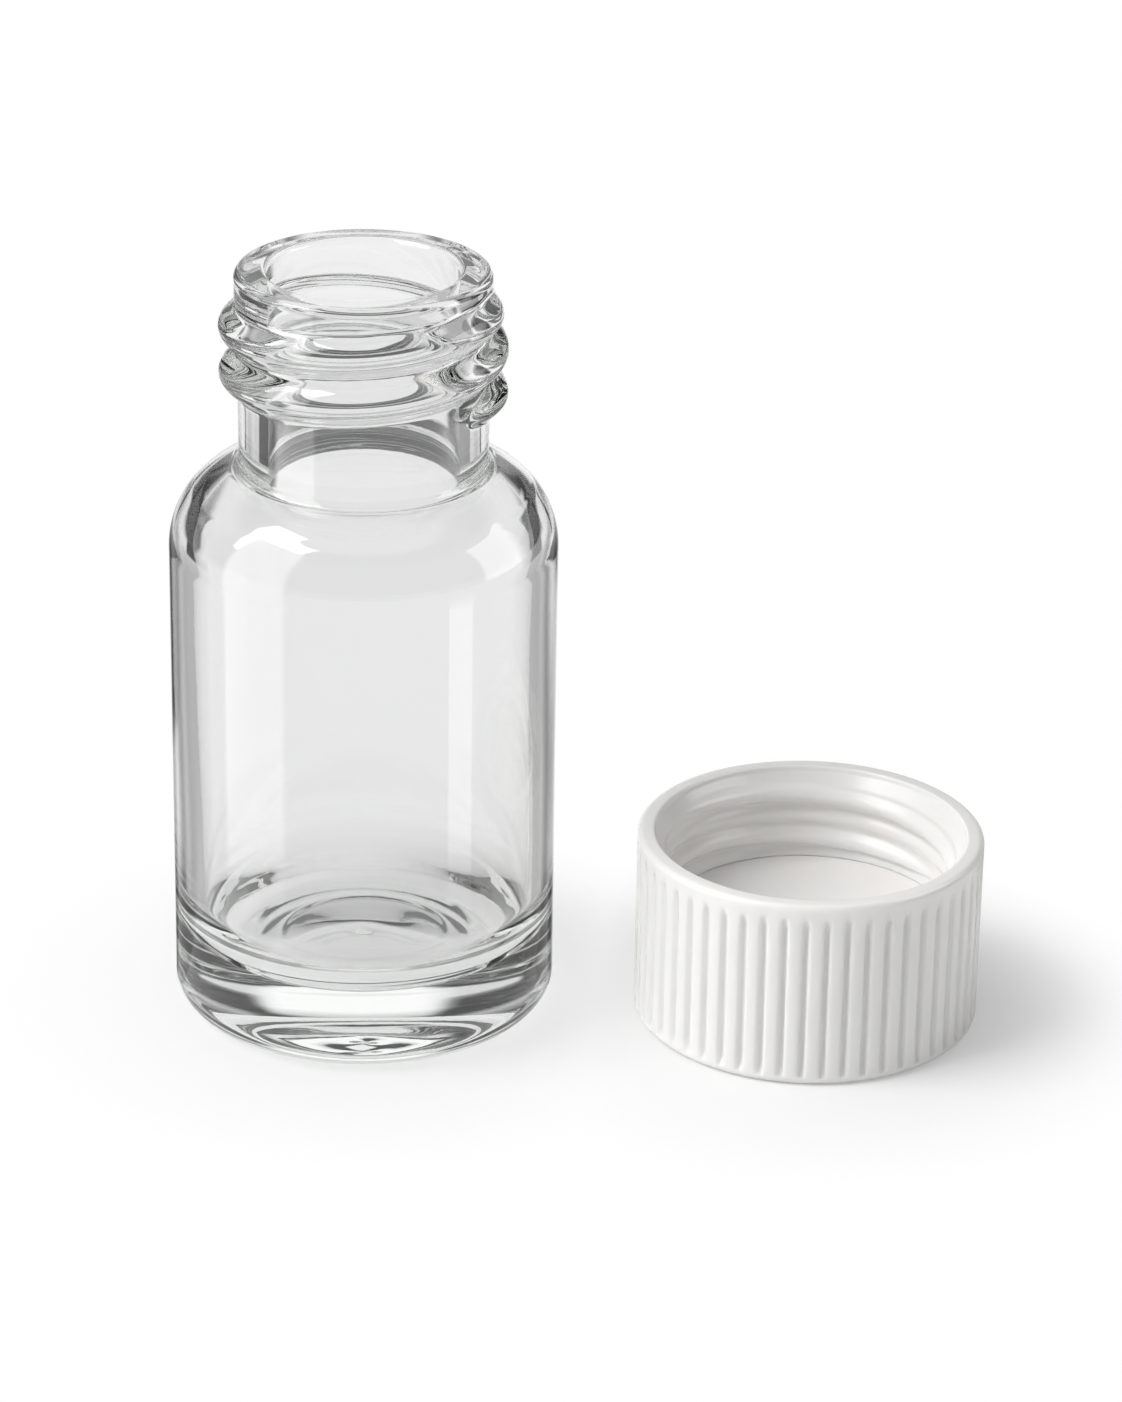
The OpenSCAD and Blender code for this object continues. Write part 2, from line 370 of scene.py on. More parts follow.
@dataclass
class GlassVial:
    """The moulded glass vial, in millimetres, with its thread bead and thick base."""

    body_radius: float = 14.0
    height: float = 56.6
    wall: float = 1.9
    base: float = 4.8
    heel_round: float = 2.2
    floor_round: float = 5.0
    ring_width: float = 2.2
    hollow_depth: float = 0.8
    shoulder_radius: float = 6.3
    shoulder_step: float = 1.7
    neck_length: float = 14.6
    neck_radius: float = 8.95
    neck_foot_round: float = 0.8
    lip_radius: float = 9.15
    lip_height: float = 2.4
    lip_round: float = 0.6
    bore_radius: float = 6.8
    bore_round: float = 0.45
    throat_round: float = 0.8
    wave_depth: float = 0.05
    floor_rings: tuple[tuple[float, float, float], ...] = (
        (10.2, 0.09, 0.35),
        (8.3, 0.1, 0.35),
        (6.3, 0.08, 0.3),
    )
    shoulder_ripple: float = 0.03
    segments: int = 256
    bead: WindingBead = field(
        default_factory=lambda: WindingBead(
            facing=Facing.OUTWARD,
            height=1.35,
            width=3.2,
            pitch=3.4,
            middle_at_x=47.35,
            start_angle=-38,
            turn=780,
            fade_angle=42,
        )
    )

    @property
    def shoulder_z(self) -> float:
        """Gives the height of the centre of both shoulder arcs, in millimetres."""
        run = self.neck_radius - (self.body_radius - self.shoulder_radius)
        return self.height - self.neck_length - math.sqrt(self.shoulder_radius**2 - run**2)

    @staticmethod
    def hollow_corner(wall_r: float, round_r: float, arc_x: float, arc_r: float) -> Pair:
        """Finds where a hollow round touches a straight wall and a shoulder's arc.

        Args:
            wall_r: Radius of the straight wall, in millimetres.
            round_r: Radius of the hollow round.
            arc_x: Distance of the shoulder arc's centre from the axis.
            arc_r: Radius of the shoulder's arc.

        Returns:
            The height of the round's centre over the arc's centre, and the arc's end angle.
        """
        run = wall_r + round_r - arc_x
        rise = math.sqrt((arc_r + round_r) ** 2 - run**2)
        return rise, math.degrees(math.atan2(rise, run))

    def outside(self) -> Points:
        """Gives the section from under the base up the outside to the middle of the lip."""
        heel_x = self.body_radius - self.heel_round
        ring_x = heel_x - self.ring_width
        hollow = (ring_x**2 + self.hollow_depth**2) / (2 * self.hollow_depth)
        hollow_angle = math.degrees(math.asin(ring_x / hollow))
        shoulder_x = self.body_radius - self.shoulder_radius
        foot_rise, foot_angle = self.hollow_corner(
            self.neck_radius, self.neck_foot_round, shoulder_x, self.shoulder_radius
        )
        foot_x = self.neck_radius + self.neck_foot_round
        foot_z = self.shoulder_z + foot_rise
        lip_z = self.height - self.lip_height
        lip_x = self.lip_radius - self.lip_round
        edge_z = self.height - self.lip_round
        points = arc(0, self.hollow_depth - hollow, hollow, 90, 90 - hollow_angle, 12)
        points += line((ring_x, 0), (heel_x, 0))
        points += arc(heel_x, self.heel_round, self.heel_round, -90, 0, 18)
        points += line((self.body_radius, self.heel_round), (self.body_radius, self.shoulder_z), 8)
        points += arc(shoulder_x, self.shoulder_z, self.shoulder_radius, 0, foot_angle, 30)
        points += arc(foot_x, foot_z, self.neck_foot_round, foot_angle + 180, 180, 8)
        points += line((self.neck_radius, foot_z), (self.neck_radius, lip_z), 88)
        points += line((self.lip_radius, lip_z + 0.2), (self.lip_radius, edge_z), 8)
        points += arc(lip_x, edge_z, self.lip_round, 0, 90, 10)
        return points

    def inside(self) -> Points:
        """Gives the section from the edge of the bore down the inside to the floor's middle."""
        inner_x = self.body_radius - self.wall
        arc_r = self.shoulder_radius - self.shoulder_step
        arc_x = inner_x - arc_r
        throat_rise, throat_angle = self.hollow_corner(
            self.bore_radius, self.throat_round, arc_x, arc_r
        )
        throat_z = self.shoulder_z + throat_rise
        edge_x = self.bore_radius + self.bore_round
        edge_z = self.height - self.bore_round
        floor_x = inner_x - self.floor_round
        floor_z = self.base + self.floor_round
        points = arc(edge_x, edge_z, self.bore_round, 90, 180, 10)
        points += line((self.bore_radius, edge_z), (self.bore_radius, throat_z), 6)
        points += arc(
            self.bore_radius + self.throat_round,
            throat_z,
            self.throat_round,
            180,
            throat_angle + 180,
            10,
        )
        points += arc(arc_x, self.shoulder_z, arc_r, throat_angle, 0, 26)
        points += line((inner_x, self.shoulder_z), (inner_x, floor_z), 16)
        points += arc(floor_x, floor_z, self.floor_round, 0, -90, 26)
        points += line((floor_x, self.base), (0, self.base), 44)
        return points

    def profile(self) -> Points:
        """Gives the closed section, up the outside, over the lip and down the inside."""
        outside, inside = self.outside(), self.inside()
        return outside + line(outside[-1], inside[0]) + inside

    def shape(
        self, angle: np.ndarray, radii: np.ndarray, heights: np.ndarray
    ) -> tuple[np.ndarray, np.ndarray]:
        """Adds the thread bead outside and the faint waves of moulded glass inside.

        Args:
            angle: Angles round the axis, in degrees.
            radii: Radii of the plain section.
            heights: Heights of the plain section.

        Returns:
            The radii and the heights of the real surface.
        """
        neck_z = self.height - self.neck_length
        outside = (np.abs(radii - self.neck_radius) < 0.3) & (heights > neck_z + 0.3)
        outside &= heights < self.height - self.lip_round
        standing = self.neck_radius + self.bead.rise(angle, heights)
        new_radii = np.where(outside, np.maximum(radii, standing), radii)
        inner_radius = self.body_radius - self.wall
        turned = np.radians(angle)
        wave = np.sin(2 * turned + 0.11 * heights + 0.6) + 0.6 * np.sin(3 * turned - 0.17 * heights)
        inside = (radii < inner_radius + 0.01) & (heights > self.base - 0.01)
        inside &= heights < self.height - self.neck_length
        share = np.clip(radii / inner_radius, 0, 1)
        new_radii = new_radii - np.where(inside, self.wave_depth * wave * share, 0)
        floor = inside & (heights < self.base + self.floor_round)
        ripple = self.wave_depth * np.cos(radii * 1.5) * (1 - share) * np.sin(turned + 0.4)
        for ring_radius, ring_height, ring_width in self.floor_rings:
            wander = 0.12 * np.sin(turned * 2 + ring_radius)
            ripple = ripple + ring_height * np.exp(
                -(((radii - ring_radius - wander) / ring_width) ** 2)
            )
        new_heights = heights + np.where(floor, ripple, 0)
        arch = inside & (heights > self.shoulder_z)
        climb = np.clip((heights - self.shoulder_z) / self.shoulder_radius, 0, 1)
        ring = self.shoulder_ripple * np.sin(climb * 17 + 0.3 * np.sin(turned)) * climb
        return new_radii + np.where(arch, ring, 0), new_heights

    def build(self, glass: bpy.types.Material) -> bpy.types.Object:
        """Builds the vial's mesh in its place and gives it the glass."""
        piece = turned_mesh("vial", self.profile(), self.segments, self.shape)
        piece.data.materials.append(glass)
        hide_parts("glass_vial")
        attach(piece, BODY)
        return piece


@dataclass
class ScrewCap:
    """The moulded cap, in millimetres, lying on its closed top with the mouth upwards."""

    centre: tuple[float, float] = (32.8, -2.0)
    radius: float = 12.7
    height: float = 14.4
    top: float = 4.4
    bore_radius: float = 10.65
    groove_radius: float = 12.32
    rim_round: float = 0.45
    lead_in: float = 0.75
    lead_depth: float = 1.3
    lead_round: float = 0.2
    top_round: float = 0.7
    band: float = 1.6
    ribs: int = 52
    rib_share: float = 0.7
    fade: float = 0.9
    low_edge: float = 0.55
    liner_top: float = 7.4
    keeper_height: float = 0.3
    keeper_width: float = 0.8
    steps_per_rib: int = 12
    ridge: WindingBead = field(
        default_factory=lambda: WindingBead(
            facing=Facing.INWARD,
            height=0.62,
            width=1.5,
            pitch=3.4,
            middle_at_x=8.15,
            start_angle=14,
            turn=506,
            fade_angle=42,
            softening=0.1,
        )
    )
    fine_ridge: WindingBead = field(
        default_factory=lambda: WindingBead(
            facing=Facing.INWARD,
            height=0.3,
            width=1.2,
            pitch=3.4,
            middle_at_x=9.85,
            start_angle=-20,
            turn=330,
            fade_angle=36,
            softening=0.1,
        )
    )

    def profile(self) -> Points:
        """Gives the closed section, from under the top, up the ribs and down the bore."""
        edge_r = self.radius - self.top_round
        rim_r = self.radius - self.rim_round
        lead_r = self.bore_radius + self.lead_in
        lead_z = self.height - self.lead_depth
        keeper_z = self.liner_top + self.keeper_width
        keeper_r = self.bore_radius - self.keeper_height
        points: Points = [(0, 0)]
        points += line((0, 0), (edge_r, 0), 6)
        points += arc(edge_r, self.top_round, self.top_round, -90, 0, 10)
        points += line((self.radius, self.top_round), (self.radius, self.height - self.rim_round), 28)
        points += arc(rim_r, self.height - self.rim_round, self.rim_round, 0, 90, 8)
        points += line((rim_r, self.height), (lead_r + self.lead_round, self.height))
        points += arc(
            lead_r + self.lead_round, self.height - self.lead_round, self.lead_round, 90, 165, 6
        )
        points += line((lead_r, self.height - 0.3), (self.bore_radius + 0.02, lead_z + 0.05), 14)
        points += line((self.bore_radius, lead_z), (self.bore_radius, keeper_z), 50)
        points += [
            (
                self.bore_radius - self.keeper_height * (0.5 - 0.5 * math.cos(math.pi * i / 8)),
                keeper_z - self.keeper_width * i / 8,
            )
            for i in range(1, 8)
        ]
        points += [(keeper_r, self.liner_top + 0.04), (keeper_r + 0.04, self.liner_top + 0.01)]
        points += line((self.bore_radius, self.liner_top), (self.bore_radius, self.top), 2)
        points += line((self.bore_radius, self.top), (0, self.top), 3)
        points.append((0, self.top))
        return points

    def shape(
        self, angle: np.ndarray, radii: np.ndarray, heights: np.ndarray
    ) -> tuple[np.ndarray, np.ndarray]:
        """Cuts the grooves between the ribs and adds the thread ridge inside.

        Args:
            angle: Angles round the axis, in degrees.
            radii: Radii of the plain section.
            heights: Heights of the plain section.

        Returns:
            The radii and the heights of the real surface.
        """
        spacing = 360 / self.ribs
        across = np.abs((angle / spacing + 0.5) % 1 - 0.5) * 2
        slope = np.clip((across - self.rib_share + 0.11) / 0.24, 0, 1)
        groove = slope * slope * (3 - 2 * slope)
        crown = 0.12 * np.clip(across / self.rib_share, 0, 1) ** 2
        top_fade = np.clip((self.height - self.band + 0.35 - heights) / self.fade, 0, 1)
        low_fade = np.clip((heights - self.low_edge) / self.fade, 0, 1)
        depth = self.radius - self.groove_radius
        cut = depth * np.maximum(groove, crown)
        cut = cut * np.sin(np.pi / 2 * top_fade) * np.sin(np.pi / 2 * low_fade)
        outside = radii > self.radius - 0.01
        wall = (radii > self.bore_radius - 0.02) & (radii < self.bore_radius + self.lead_in - 0.02)
        wall &= heights > self.liner_top + self.keeper_width - 0.01
        rise = np.maximum(
            self.ridge.rise(angle, heights), self.fine_ridge.rise(angle, heights)
        )
        new_radii = np.where(outside, radii - cut, radii)
        return np.where(wall, new_radii - rise, new_radii), heights

    def build(self, plastic: bpy.types.Material) -> bpy.types.Object:
        """Builds the cap's mesh in its place and gives it the white plastic."""
        piece = turned_mesh("cap", self.profile(), self.ribs * self.steps_per_rib, self.shape)
        piece.data.transform(Matrix.Translation((self.centre[0] * MM, self.centre[1] * MM, 0)))
        piece.data.materials.append(plastic)
        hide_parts("screw_cap")
        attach(piece, BODY)
        return piece


@dataclass
class CapLiner:
    """The soft disc in the cap, in millimetres."""

    centre: tuple[float, float] = (32.8, -2.0)
    floor: float = 4.4
    radius: float = 10.57
    thickness: float = 3.0
    edge_round: float = 0.25
    dish: float = 0.12
    segments: int = 192

    def profile(self) -> Points:
        """Gives the closed section, from under the disc, round its edge and over its face."""
        edge_r = self.radius - self.edge_round
        low, high = self.floor, self.floor + self.thickness
        points: Points = [(0, low)]
        points += line((0, low), (edge_r, low), 4)
        points += arc(edge_r, low + self.edge_round, self.edge_round, -90, 0, 6)
        points += arc(edge_r, high - self.edge_round, self.edge_round, 0, 90, 8)
        points += line((edge_r, high), (0, high), 24)
        points.append((0, high - self.dish))
        return points

    def shape(
        self, angle: np.ndarray, radii: np.ndarray, heights: np.ndarray
    ) -> tuple[np.ndarray, np.ndarray]:
        """Sinks the middle of the face a little, as a soft disc does behind its keeper bead.

        Args:
            angle: Angles round the axis, in degrees; not used.
            radii: Radii of the plain section.
            heights: Heights of the plain section.

        Returns:
            The radii and the heights of the real surface.
        """
        share = np.clip(1 - radii / (self.radius - self.edge_round), 0, 1)
        sunk = self.dish * (share * share * (3 - 2 * share))
        face = heights > self.floor + self.thickness - 0.01
        return radii, heights - np.where(face, sunk, 0)

    def build(self, soft: bpy.types.Material) -> bpy.types.Object:
        """Builds the liner's mesh in its place and gives it the soft finish."""
        piece = turned_mesh("liner", self.profile(), self.segments, self.shape)
        piece.data.transform(Matrix.Translation((self.centre[0] * MM, self.centre[1] * MM, 0)))
        piece.data.materials.append(soft)
        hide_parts("cap_liner")
        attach(piece, BODY)
        return piece


@dataclass(frozen=True)
class Softbox:
    """A flat soft lamp: where it stands, what it aims at, its size and its light."""

    name: str
    place: tuple[float, float, float]
    aim: tuple[float, float, float]
    width: float
    height: float
    radiance: float

    def build(self) -> bpy.types.Object:
        """Adds the lamp, with the watts that give its face the wanted radiance."""
        lamp = bpy.data.lights.new(self.name, "AREA")
        lamp.shape = "RECTANGLE"
        lamp.size = self.width
        lamp.size_y = self.height
        lamp.energy = self.radiance * math.pi * self.width * self.height
        holder = bpy.data.objects.new(self.name, lamp)
        holder.location = self.place
        direction = Vector(self.aim) - Vector(self.place)
        holder.rotation_euler = direction.to_track_quat("-Z", "Y").to_euler()
        holder.visible_transmission = False
        bpy.context.scene.collection.objects.link(holder)
        return holder


# Each use puts painted light or painted shade into the glass alone: the cards light nothing and show only on
# the light paths that Card.shown_at lets through.
class CardUse(Enum):
    """What a card beside the glass is for."""

    # Mirrored only: painted highlights, and one painted dark reflection at the vial's edges.
    PAINTED_REFLECTION = "a bright card that the glass only mirrors"
    # Seen only in the thick glass after an inner reflection: painted dark tone, and painted bright bands in the
    # base.
    PAINTED_TONE_IN_THICK_GLASS = "a dark card that the glass only shows through its thick parts"
    # Painted shade, both mirrored and seen in the thick glass.
    SHADE = "a grey card that the glass mirrors and shows through its thick parts"
    # Seen only straight through the walls: painted dark tone.
    PAINTED_DARK_THROUGH_WALLS = "a dark card that the glass only shows straight through its walls"
    # Painted contact shadow under the vial's ring, met only by light guided down inside the wall.
    PAINTED_CONTACT_SHADOW = "a dark ring that only light guided down inside the wall meets"


# A card is a painted highlight or painted shade in the glass: its tone is emission that lights nothing and that
# camera, diffuse and shadow rays never meet.
@dataclass(frozen=True)
class Card:
    """A curved card seen only in the glass, round the vial or round a centre of its own.

    The bearing is clockwise from straight behind the vial, in degrees. Each edge is a distance
    from the centre and a height, in metres, so equal distances give an upright card and equal
    heights a lying one. The tones are those of the lower and the upper edge.
    """

    name: str
    use: CardUse
    bearing: float
    span: float
    low_edge: Pair
    high_edge: Pair
    tones: Pair
    soft_sides: float = 0.2
    soft_low: float = 0.0
    soft_high: float = 0.0
    centre: Pair = (0.0, 0.0)
    across: int = 32
    up: int = 10

    @staticmethod
    def fade(room: np.ndarray, softness: float) -> np.ndarray:
        """Gives the cover near an edge, from 0 at the edge to 1 where the softness ends."""
        share = np.clip(room / max(softness, 1e-6), 0, 1)
        return share * share * (3 - 2 * share)

    def build(self) -> bpy.types.Object:
        """Builds the card as a curved strip that only mirrored or refracted rays meet."""
        side, rise = np.meshgrid(
            np.linspace(-1, 1, self.across + 1), np.linspace(0, 1, self.up + 1)
        )
        angles = np.radians(self.bearing + 0.5 * self.span * side)
        away = self.low_edge[0] + (self.high_edge[0] - self.low_edge[0]) * rise
        height = self.low_edge[1] + (self.high_edge[1] - self.low_edge[1]) * rise
        points = np.stack(
            [self.centre[0] + away * np.sin(angles), self.centre[1] + away * np.cos(angles), height],
            axis=-1,
        )
        cover = self.fade(1 - np.abs(side), self.soft_sides)
        cover = cover * (self.fade(rise, self.soft_low) if self.soft_low else 1)
        cover = cover * (self.fade(1 - rise, self.soft_high) if self.soft_high else 1)
        tone = self.tones[0] + (self.tones[1] - self.tones[0]) * rise
        row = self.across + 1
        faces = [
            (row * j + i, row * j + i + 1, row * j + i + row + 1, row * j + i + row)
            for j in range(self.up)
            for i in range(self.across)
        ]
        mesh = bpy.data.meshes.new(self.name)
        mesh.from_pydata(points.reshape(-1, 3).tolist(), [], faces)
        for name, values in (("cover", cover), ("tone", tone)):
            layer = mesh.attributes.new(name=name, type="FLOAT", domain="POINT")
            layer.data.foreach_set("value", values.ravel())
        card = bpy.data.objects.new(self.name, mesh)
        bpy.context.scene.collection.objects.link(card)
        card.visible_camera = False
        card.visible_diffuse = False
        card.visible_shadow = False
        card.visible_transmission = self.use is not CardUse.PAINTED_REFLECTION
        card.visible_glossy = self.use in (CardUse.PAINTED_REFLECTION, CardUse.SHADE)
        mesh.materials.append(self.material())
        return card

    def shown_at(self) -> tuple[tuple[str, str, float], ...]:
        """Gives the tests on the light path's depths that let the card show."""
        if self.use is CardUse.PAINTED_CONTACT_SHADOW:
            return (
                ("Diffuse Depth", "LESS_THAN", 0.5),
                ("Glossy Depth", "GREATER_THAN", 1.5),
                ("Transmission Depth", "GREATER_THAN", 3.5),
            )
        if self.use is CardUse.PAINTED_DARK_THROUGH_WALLS:
            return (
                ("Diffuse Depth", "LESS_THAN", 0.5),
                ("Glossy Depth", "LESS_THAN", 0.5),
                ("Transmission Depth", "GREATER_THAN", 1.5),
            )
        return (
            ("Diffuse Depth", "LESS_THAN", 0.5),
            ("Glossy Depth", "GREATER_THAN", 0.5),
            ("Transmission Depth", "LESS_THAN", 2.5),
        )

    def material(self) -> bpy.types.Material:
        """Builds the card's tone, which lights nothing that isn't glass."""
        material = bpy.data.materials.new(self.name)
        material.use_nodes = True
        nodes = NodeTree(material.node_tree)
        material.node_tree.nodes.remove(material.node_tree.nodes["Principled BSDF"])
        path = nodes.add("ShaderNodeLightPath")
        cover = nodes.add("ShaderNodeAttribute", attribute_name="cover")
        share = cover.outputs["Fac"]
        for depth, operation, limit in self.shown_at():
            test = nodes.add("ShaderNodeMath", operation=operation)
            test.inputs[1].default_value = limit
            passed = nodes.add("ShaderNodeMath", operation="MULTIPLY")
            nodes.join(path.outputs[depth], test.inputs[0])
            nodes.join(test.outputs["Value"], passed.inputs[0])
            nodes.join(share, passed.inputs[1])
            share = passed.outputs["Value"]
        tone = nodes.add("ShaderNodeAttribute", attribute_name="tone")
        # The emission carries the card's painted tone, bright for painted highlights and dark for painted
        # shade.
        glow = nodes.add("ShaderNodeEmission")
        clear = nodes.add("ShaderNodeBsdfTransparent")
        mix = nodes.add("ShaderNodeMixShader")
        output = material.node_tree.nodes["Material Output"]
        nodes.join(tone.outputs["Fac"], glow.inputs["Strength"])
        nodes.join(share, mix.inputs[0])
        nodes.join(clear.outputs["BSDF"], mix.inputs[1])
        nodes.join(glow.outputs["Emission"], mix.inputs[2])
        nodes.join(mix.outputs["Shader"], output.inputs["Surface"])
        return material


def mirrored(name: str, use: CardUse, bearing: float, *rest: object, **more: object) -> tuple[Card, Card]:
    """Gives a card on the left and the same card on the right.

    Args:
        name: Name of the pair; the side's name goes before it.
        use: What the cards are for.
        bearing: Bearing of the right card's middle, in degrees.
        *rest: The card's other fields in their order.
        **more: The card's other fields by name.

    Returns:
        The left and the right card.
    """
    centre = more.pop("centre", (0.0, 0.0))
    return (
        Card(f"left_{name}", use, -bearing, *rest, centre=(-centre[0], centre[1]), **more),
        Card(f"right_{name}", use, bearing, *rest, centre=centre, **more),
    )


@dataclass
class Studio:
    """The pale floor, the soft lamps, the bright surroundings and the camera, in metres."""

    floor_reach: float = 3.0
    floor_drop: float = 0.03 * MM
    floor_albedo: float = 0.88
    floor_lift: float = 0.3
    shadow_zones: tuple[tuple[float, float, float], ...] = (
        (0.0, 0.0, 0.014),
        (0.0328, -0.002, 0.0127),
    )
    shadow_reach: float = 0.016
    sky_fill: float = 0.48
    high_tones: tuple[Pair, ...] = (
        (0.0, 1.0), (0.58, 1.0), (0.68, 0.08), (0.84, 0.08), (0.9, 0.85), (1.0, 0.85),
    )
    near_tone: float = 0.3
    back_reach: Pair = (0.0, 0.5)
    top_reach: Pair = (0.58, 0.7)
    lamps: tuple[Softbox, ...] = (
        Softbox("key_softbox", (-0.39, -0.13, 0.45), (0.01, 0, 0.02), 0.36, 0.40, 7.7),
    )
    cards: tuple[Card, ...] = (
        # Painted dark bars at both sides of the neck, seen only straight through its walls.
        Card(
            "left_neck_painted_dark_veil", CardUse.PAINTED_DARK_THROUGH_WALLS, -43, 30, (0.085, 0.0105), (0.085, 0.021), (0.06, 0.06),
            soft_sides=0.4,
        ),
        Card(
            "right_neck_painted_dark_veil", CardUse.PAINTED_DARK_THROUGH_WALLS, 45, 24, (0.085, 0.0105), (0.085, 0.021), (0.25, 0.25),
            soft_sides=0.4,
        ),
        # Painted dark crescents on both shoulders, seen only straight through the walls.
        *mirrored(
            "crescent_painted_dark_veil", CardUse.PAINTED_DARK_THROUGH_WALLS, 41, 40, (0.0852, 0.012), (0.0852, 0.040), (0.04, 0.04),
            soft_sides=0.3, soft_low=0.05, soft_high=0.1,
        ),
        *mirrored(
            "crescent_tip_painted_dark_veil", CardUse.PAINTED_DARK_THROUGH_WALLS, 40, 18, (0.084, 0.0042), (0.084, 0.0125), (0.05, 0.05),
            soft_sides=0.4, soft_low=0.2,
        ),
        *mirrored(
            "edge_dark", CardUse.PAINTED_REFLECTION, 50, 64, (0.09, 0.02), (0.09, 0.08), (0.08, 0.08),
            soft_sides=0.3, soft_low=0.15, soft_high=0.3,
        ),
        # Painted contact shadow on the floor under the vial's bearing ring, seen only by light guided down
        # inside the wall.
        Card(
            "ring_painted_contact_shadow", CardUse.PAINTED_CONTACT_SHADOW, 0, 360, (0.0086, -0.000015), (0.0138, -0.000015), (0.1, 0.1),
            soft_sides=0.0, across=96,
        ),
        # Painted dark band below the thread bead, seen only straight through the walls.
        Card(
            "bead_painted_dark_veil", CardUse.PAINTED_DARK_THROUGH_WALLS, 0, 120, (0.0126, 0.0403), (0.0168, 0.0403), (0.08, 0.08),
            soft_sides=0.5, soft_high=0.2,
        ),
        # Painted bright band, painted dark band and painted bright band in the thick base, seen only in the
        # glass.
        Card(
            "base_shine", CardUse.PAINTED_TONE_IN_THICK_GLASS, 0, 36, (0.074, 0.014), (0.074, 0.046), (1.2, 1.2),
            soft_sides=0.5, soft_low=0.2, soft_high=0.2,
        ),
        Card(
            "base_low_painted_dark_flag", CardUse.PAINTED_TONE_IN_THICK_GLASS, 0, 44, (0.0748, 0.047), (0.0748, 0.067), (0.08, 0.08),
            soft_sides=0.4, soft_low=0.2, soft_high=0.2,
        ),
        Card(
            "base_high_shine", CardUse.PAINTED_TONE_IN_THICK_GLASS, 0, 60, (0.0744, 0.067), (0.0744, 0.115), (1.1, 1.1),
            soft_sides=0.5, soft_low=0.2, soft_high=0.3,
        ),
        # Painted shade lines lying on the floor under the base and at the heel, seen only in the glass.
        Card(
            "floor_edge_painted_shade_line", CardUse.PAINTED_TONE_IN_THICK_GLASS, 180, 210, (0.0072, -0.000015), (0.0086, -0.000015),
            (0.06, 0.06), soft_sides=0.3, soft_low=0.3, soft_high=0.3,
        ),
        Card(
            "heel_painted_shade_line", CardUse.PAINTED_TONE_IN_THICK_GLASS, 0, 150, (0.0133, -0.000015), (0.0152, -0.000015),
            (0.08, 0.08), soft_sides=0.3, soft_high=0.3,
        ),
        # Painted dark tone in the neck's thick parts, seen only after an inner reflection.
        Card(
            "left_neck_painted_dark_flag", CardUse.PAINTED_TONE_IN_THICK_GLASS, -65, 30, (0.085, 0.011), (0.085, 0.026), (0.05, 0.05),
            soft_low=0.2,
        ),
        Card(
            "right_neck_painted_dark_flag", CardUse.PAINTED_TONE_IN_THICK_GLASS, 57, 29, (0.085, 0.011), (0.085, 0.026), (0.34, 0.34),
            soft_low=0.2,
        ),
        # Painted dark streaks from behind the vial, seen only in the thick glass.
        *mirrored(
            "back_painted_dark_flag", CardUse.PAINTED_TONE_IN_THICK_GLASS, 19, 6, (0.085, 0.006), (0.085, 0.022), (0.1, 0.1),
            soft_sides=0.6, soft_high=0.2,
        ),
        # Painted dark tone on the shoulders, seen only in the thick glass.
        *mirrored(
            "shoulder_painted_dark_flag", CardUse.PAINTED_TONE_IN_THICK_GLASS, 54, 40, (0.086, 0.022), (0.086, 0.046), (0.05, 0.05),
            soft_low=0.2, soft_high=0.2,
        ),
        # Painted dark sides of the thick base, seen only in the glass.
        *mirrored(
            "base_painted_dark_flag", CardUse.PAINTED_TONE_IN_THICK_GLASS, 34, 46, (0.075, 0.026), (0.075, 0.058), (0.05, 0.05),
            soft_low=0.15, soft_high=0.2,
        ),
        *mirrored(
            "edge_shade", CardUse.SHADE, 22, 34, (0.002, 0.0003), (0.15, 0.0003), (0.12, 0.12),
            soft_sides=1.0, soft_high=0.4, centre=(0.0135, -0.002),
        ),
        *mirrored(
            "side_shade", CardUse.SHADE, 52, 50, (0.002, 0.0002), (0.15, 0.0002), (0.5, 0.5),
            soft_sides=0.5, soft_high=0.4, centre=(0.0135, -0.002),
        ),
        # Painted highlight bands down both sides of the body, mirrored only.
        Card(
            "left_painted_highlight_band", CardUse.PAINTED_REFLECTION, -136.5, 32, (0.02, 0.005), (0.02, 0.036), (3.0, 3.2),
            soft_low=0.4, soft_high=0.1,
        ),
        Card(
            "right_painted_highlight_band", CardUse.PAINTED_REFLECTION, 139, 12, (0.02, 0.005), (0.02, 0.036), (3.0, 3.2),
            soft_low=0.4, soft_high=0.1,
        ),
        Card("left_glint", CardUse.PAINTED_REFLECTION, -119.5, 43, (0.09, 0.004), (0.09, 0.13), (3.4, 3.8)),
        Card("right_glint", CardUse.PAINTED_REFLECTION, 91, 38, (0.09, 0.036), (0.09, 0.10), (3.4, 3.4)),
    )
    mirror_bounces: int = 12
    all_bounces: int = 16
    focal_px: float = 5000.0
    frame_px: tuple[int, int] = (1122, 1402)
    sensor_mm: float = 36.0
    pitch: float = 23.9
    roll: float = 0.9
    distance: float = 0.3644
    aim: tuple[float, float, float] = (0.01434, 0.0, 0.0236)

